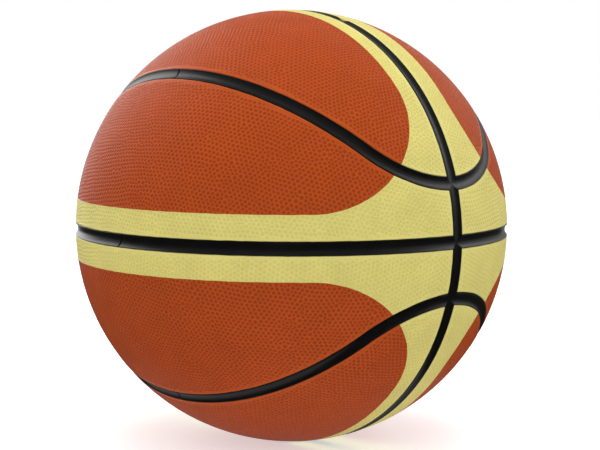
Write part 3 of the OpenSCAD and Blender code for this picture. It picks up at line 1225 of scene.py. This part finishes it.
def white_to_the_eye(tree):
    """1 for the rays that show the background: the camera's, and those that gloss or glass sends."""
    path = add_node(tree, "ShaderNodeLightPath").outputs
    seen = math_node(tree, "MAXIMUM", path["Is Camera Ray"], path["Is Glossy Ray"])
    return math_node(tree, "MAXIMUM", seen, path["Is Transmission Ray"])


def floor_material():
    """White paper that keeps the ball's shadow, lifted to the background's white for the camera."""
    material, tree, shader = new_material(
        "floor_paper", Base_Color=(0.85, 0.85, 0.85, 1), Roughness=0.9, Specular_IOR_Level=0)
    grain = result_of(tree, "ShaderNodeTexNoise", {"Scale": 900, "Detail": 2})
    add_bump(tree, shader, grain, 0.02 * MM)
    strength = math_node(tree, "MULTIPLY", white_to_the_eye(tree), 0.5)
    lift = result_of(tree, "ShaderNodeEmission", {"Strength": strength})
    both = result_of(tree, "ShaderNodeAddShader", {0: shader.outputs[0], 1: lift})
    tree.links.new(both, tree.nodes["Material Output"].inputs["Surface"])
    return material


def make_world():
    """A pale room: white where it is seen, and a little dimmer as a light."""
    world = bpy.data.worlds.new("room")
    bpy.context.scene.world = world
    world.use_nodes = True
    tree = world.node_tree
    light = tree.nodes["Background"]
    light.inputs["Color"].default_value = (1, 1, 1, 1)
    light.inputs["Strength"].default_value = 0.76
    seen = result_of(tree, "ShaderNodeBackground", {"Color": (1, 1, 1, 1), "Strength": 1})
    inputs = {"Fac": white_to_the_eye(tree), 1: light.outputs[0], 2: seen}
    mix = result_of(tree, "ShaderNodeMixShader", inputs)
    tree.links.new(mix, tree.nodes["World Output"].inputs["Surface"])


def make_light(name, place, size, power, gleams):
    """A square soft box that points at the ball. One that doesn't gleam is hidden from gloss."""
    data = bpy.data.lights.new(name, "AREA")
    data.size = size
    data.energy = power
    light = add_object(name, data)
    light.location = place
    light.rotation_euler = (-Vector(place)).to_track_quat("-Z", "Y").to_euler()
    light.visible_camera = False
    light.visible_glossy = gleams


# The camera was fitted to the ball's outline and its channels, with its place and aim in metres.
PICTURE_W = 600
FOCAL_PIXELS = 1585.3
CAMERA_PLACE = Vector((0.5826, -0.5801, 0.0791))
CAMERA_AIM = Vector((0.00311, 0.00313, 0.00032))
CAMERA_ROLL = math.radians(0.2)


def make_camera():
    """The camera that took the photograph, from its focal length in pixels and its place."""
    data = bpy.data.cameras.new("camera")
    data.sensor_fit = "HORIZONTAL"
    data.sensor_width = 36
    data.lens = FOCAL_PIXELS * data.sensor_width / PICTURE_W
    camera = add_object("camera", data)
    camera.location = CAMERA_PLACE
    aim = (CAMERA_AIM - CAMERA_PLACE).to_track_quat("-Z", "Y").to_matrix()
    camera.rotation_euler = (aim @ Matrix.Rotation(CAMERA_ROLL, 3, "Z")).to_euler()
    bpy.context.scene.camera = camera


make_floor().data.materials.append(floor_material())
make_world()
make_light("softbox_above", (0, 0, 1.4), 1.2, 12.2, False)
make_light("softbox_front", (0.75, -0.75, 0.9), 0.7, 1.9, False)
make_light("softbox_left", (-1.1, -0.45, 1.0), 0.7, 1.3, False)
make_light("softbox_right", (0.62, 0.98, 0.72), 0.65, 1.7, True)
make_light("glow_under_ball", (0, 0, -BALL + LAMP_LIFT), 0.2, 0.05, True)
make_flag("flag_ceiling", room_card(2, (0, 360), (20, 90)), 48, 8, 0.4)
make_flag("flag_room_high", room_card(1.8, (-142, 20), (10, 60)), 27, 8, 0.2)
make_flag("flag_room_low", room_card(1.8, (-142, 20), (-12, 10)), 27, 4, 0.03)
make_flag("flag_left", room_card(1.8, (184, 218), (-12, 14)), 6, 6, 0.5)
make_flag("flag_right", room_card(1.8, (20, 125), (-12, 12)), 14, 6, 0.4)
make_flag("flag_table", table_top, 48, 2, 0.03)
make_flag("window_left", room_card(1.7, (182, 214), (18, 60)), 6, 8, 0.5, 2)
make_flag("window_back", room_card(1.7, (152, 184), (-3, 45)), 6, 8, 0.5, 1.8)
make_flag("window_right", room_card(1.7, (62, 125), (12, 50)), 10, 8, 0.5, 0.45)
make_camera()
bpy.context.scene.view_settings.view_transform = "Standard"
